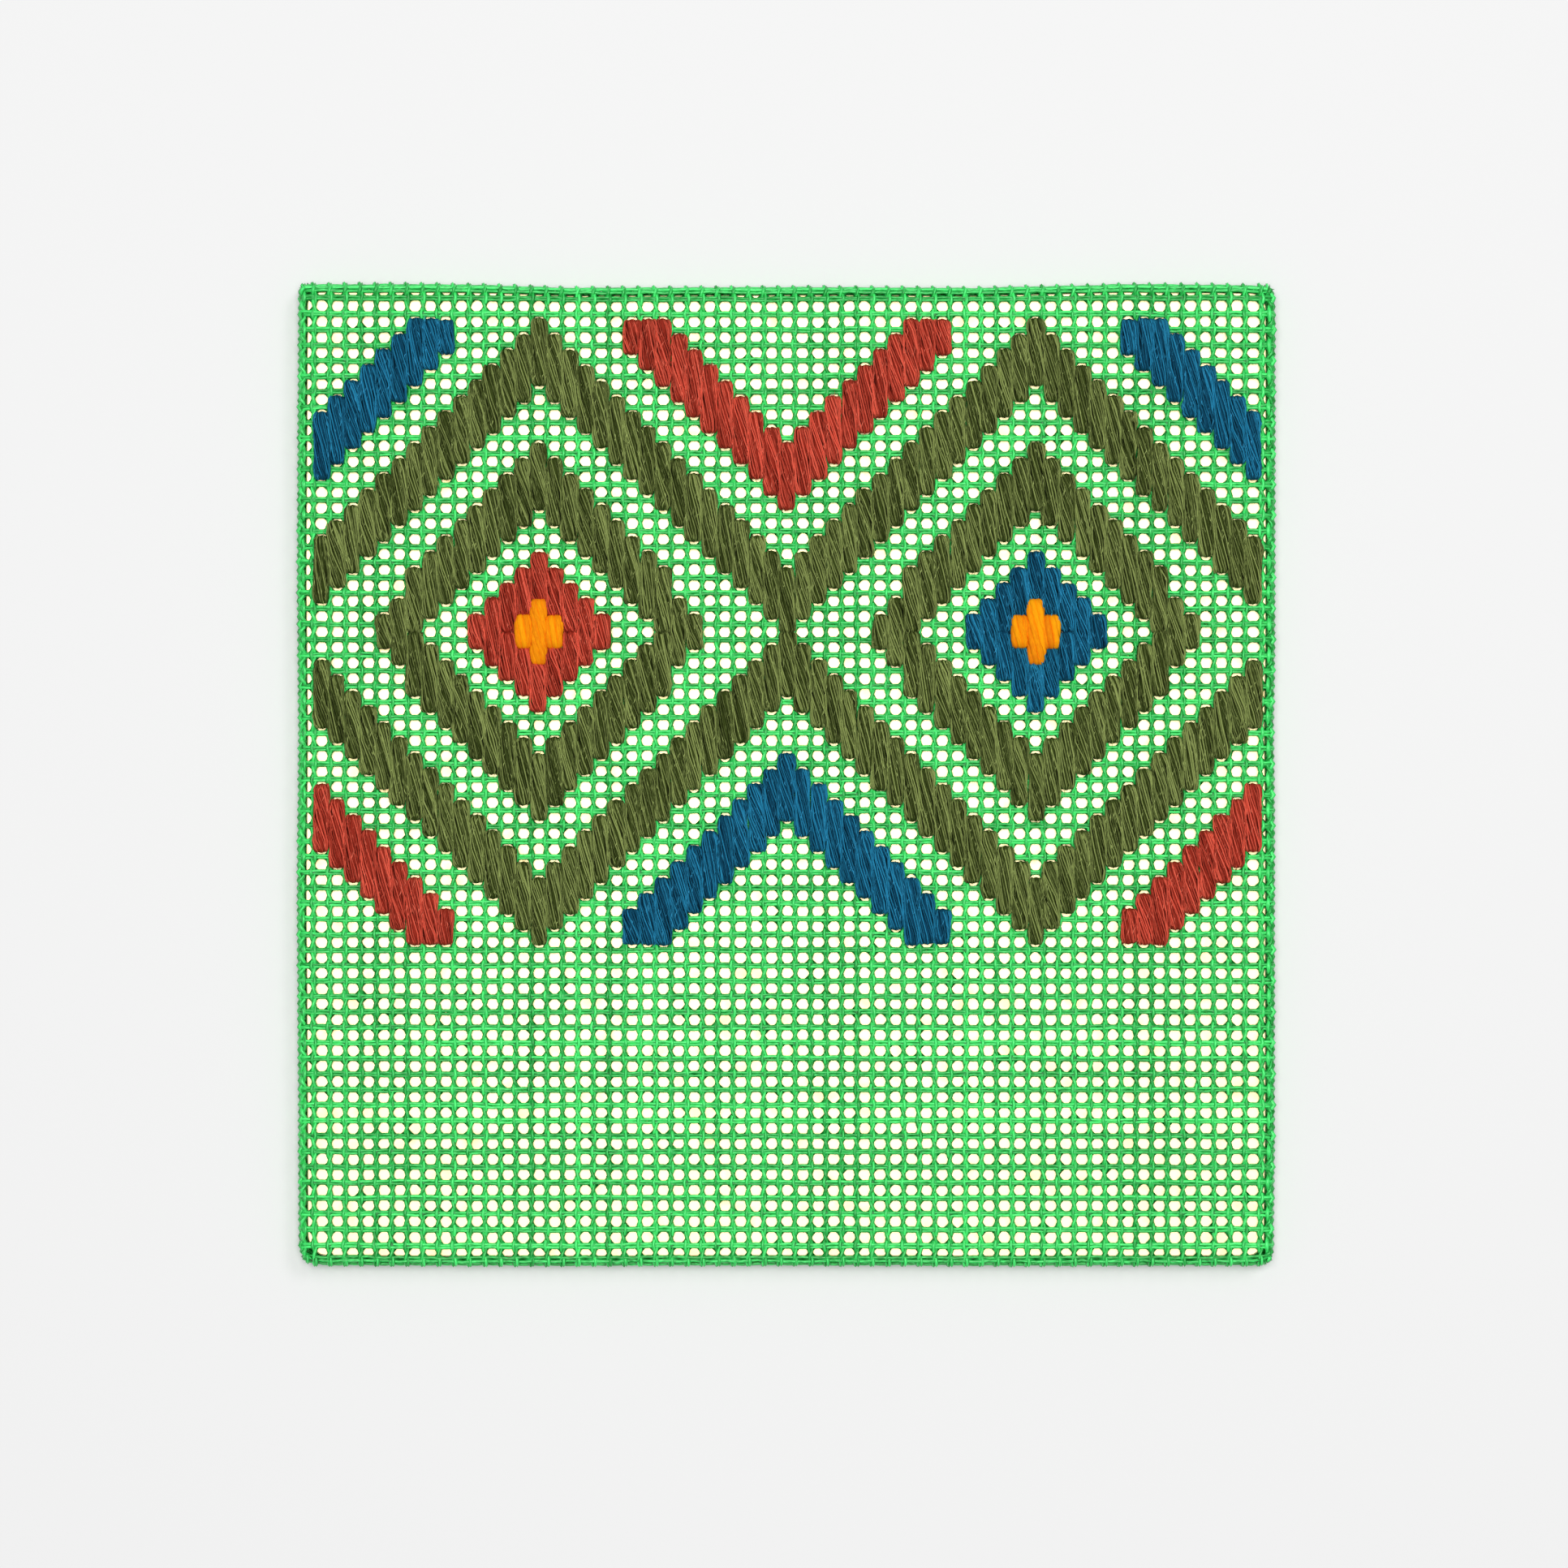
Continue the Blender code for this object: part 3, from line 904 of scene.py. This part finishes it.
def stray_fibre_tree():
    """Lays fine bent fibres on top of the wool, nearly along its strands, each one pointed at both ends."""
    kinds = {
        "Wool": "Geometry",
        "Lowest": "Float",
        "Fibres per Area": "Float",
        "Length": "Float",
        "Thickness": "Float",
        "Bend": "Float",
        "Seed": "Int",
        "Finish": "Material",
    }
    tree, given = new_tree("stray_fibres", "Fibres", kinds)
    calc = calculator(tree)

    def chosen(low, high, seed):
        """A random vector for each fibre."""
        node = add(
            tree,
            "FunctionNodeRandomValue",
            {"Min": low, "Max": high, "Seed": calc("ADD", given["Seed"], seed)},
            data_type="FLOAT_VECTOR",
        )
        return node.outputs[0]

    place = add(tree, "GeometryNodeInputPosition").outputs[0]
    x, y, z = add(tree, "ShaderNodeSeparateXYZ", {0: place}).outputs
    normal = add(tree, "GeometryNodeInputNormal").outputs[0]
    facing = add(tree, "ShaderNodeSeparateXYZ", {0: normal}).outputs[2]
    least_facing = 0.3
    high_up = add(tree, "FunctionNodeCompare", {0: z, 1: given["Lowest"]}, operation="GREATER_THAN")
    upper = calc("MULTIPLY", calc("GREATER_THAN", facing, least_facing), high_up.outputs[0])
    spread = {
        "Mesh": given["Wool"],
        "Selection": upper,
        "Density": given["Fibres per Area"],
        "Seed": given["Seed"],
    }
    roots = add(tree, "GeometryNodeDistributePointsOnFaces", spread)
    spindle = add(tree, "GeometryNodeMeshUVSphere", {"Segments": 3, "Rings": 2, "Radius": 1.0})
    in_middle = calc("SUBTRACT", 1.0, calc("ABSOLUTE", z))
    bent = calc("MULTIPLY", in_middle, given["Bend"])
    lengthways = calc("MULTIPLY", calc("MULTIPLY", z, given["Length"]), 0.5)
    sideways = calc("ADD", calc("MULTIPLY", x, given["Thickness"]), bent)
    upwards = calc("ADD", calc("MULTIPLY", y, given["Thickness"]), bent)
    shape = add(tree, "ShaderNodeCombineXYZ", {0: lengthways, 1: sideways, 2: upwards}).outputs[0]
    fibre = add(tree, "GeometryNodeSetPosition", {"Geometry": spindle.outputs[0], "Position": shape})
    aside, way, rise = add(
        tree, "ShaderNodeSeparateXYZ", {0: chosen((-0.42, -1.0, -0.10), (0.42, 1.0, 0.12), 5)}
    ).outputs
    direction = add(tree, "ShaderNodeCombineXYZ", {0: aside, 1: calc("SIGN", way), 2: rise}).outputs[0]
    turned = add(tree, "FunctionNodeAlignRotationToVector", {"Vector": direction}, axis="X")
    laid = {
        "Points": roots.outputs[0],
        "Instance": fibre.outputs[0],
        "Rotation": turned.outputs[0],
        "Scale": chosen((0.5, 0.4, 0.3), (1.2, 1.6, 1.7), 9),
    }
    fibres = add(tree, "GeometryNodeInstanceOnPoints", laid)
    each_toned = toned(tree, fibres.outputs[0], "INSTANCE", given["Seed"])
    return end_tree(tree, each_toned, given["Finish"])


stray_fibres = stray_fibre_tree()
for number, slot in enumerate(("olive_wool", "red_wool", "blue_wool")):
    dark, light = WOOLS[slot][:2]
    middling = [(a + b) / 2 for a, b in zip(dark, light)]
    # The fibres' light tone, brighter and whiter than the wool's own, is a painted highlight.
    painted_highlight = [min(BRIGHTEST, WHITER + BRIGHTER * level) for level in light]
    fibres = made_by(
        stray_fibres,
        slot + "_fibres",
        wool_pieces[slot].data.copy(),
        Lowest=cloth_middle + 0.9 * MM,
        Fibres_per_Area=700000.0,
        Length=2.3 * MM,
        Thickness=0.055 * MM,
        Bend=0.13 * MM,
        Seed=number,
        Finish=thread_finish(
            slot + "_fibre",
            middling,
            painted_highlight,
            roughness=0.85,
            fibre_length=9 * MM,
            fibre_depth=0.0,
            own_tone=1.2,
            gloss=0.12,
        ),
    )
    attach(fibres, "root")


# The floor, the light and the camera
# A plain white table, a wide soft light overhead and a weaker one from the upper right, and a camera
# straight above the panel, as the photograph was taken.

TABLE_HALF = 3.0
floor_z = canvas_low.z - 0.1 * MM
floor_corners = [
    (x * TABLE_HALF, y * TABLE_HALF, floor_z) for x, y in ((-1, -1), (1, -1), (1, 1), (-1, 1))
]
floor_mesh = bpy.data.meshes.new("floor")
floor_mesh.from_pydata(floor_corners, [], [(0, 1, 2, 3)])
floor = bpy.data.objects.new("floor", floor_mesh)
bpy.context.scene.collection.objects.link(floor)
floor_finish, floor_tree, floor_shader = new_finish("white_table", roughness=0.9)
floor_shader.inputs["Base Color"].default_value = (0.825, 0.825, 0.825, 1)
floor_shader.inputs["Specular IOR Level"].default_value = 0.0
floor_mesh.materials.append(floor_finish)


def soft_light(name, place, size, light_on_table):
    """A square lamp that faces the panel, set by how much light it sheds on the table there."""
    lamp = bpy.data.lights.new(name, "AREA")
    lamp.shape = "SQUARE"
    lamp.size = size
    light = bpy.data.objects.new(name, lamp)
    light.location = place
    distance = light.location.length
    slope = light.location.z / distance
    lamp.energy = light_on_table * math.pi * distance**2 / slope
    light.rotation_mode = "QUATERNION"
    light.rotation_quaternion = light.location.to_track_quat("Z", "Y")
    bpy.context.scene.collection.objects.link(light)


soft_light("overhead_light", place=(-0.02, 0.12, 1.6), size=0.80, light_on_table=2.66)
soft_light("upper_right_light", place=(1.0, 1.0, 2.0), size=0.64, light_on_table=0.36)
world = bpy.data.worlds.new("room")
bpy.context.scene.world = world
world.use_nodes = True
world.node_tree.nodes["Background"].inputs["Color"].default_value = (1.0, 1.0, 1.0, 1)
world.node_tree.nodes["Background"].inputs["Strength"].default_value = 0.21
bpy.context.scene.view_settings.view_transform = "Standard"

# The photograph's side in pixels, how wide its view is at the panel's face, and where the panel's middle is.
PHOTO_PX = 1932
FRAME_WIDTH = 256.6 * MM
PANEL_MIDDLE_PX = (968.5, 954.0)
camera_data = bpy.data.cameras.new("camera")
camera_data.lens = 100.0
camera_data.sensor_width = 36.0
camera = bpy.data.objects.new("camera", camera_data)
pixel = FRAME_WIDTH / PHOTO_PX
camera.location = (
    (PHOTO_PX / 2 - PANEL_MIDDLE_PX[0]) * pixel,
    -(PHOTO_PX / 2 - PANEL_MIDDLE_PX[1]) * pixel,
    canvas_high.z + FRAME_WIDTH * camera_data.lens / camera_data.sensor_width,
)
bpy.context.scene.collection.objects.link(camera)
bpy.context.scene.camera = camera
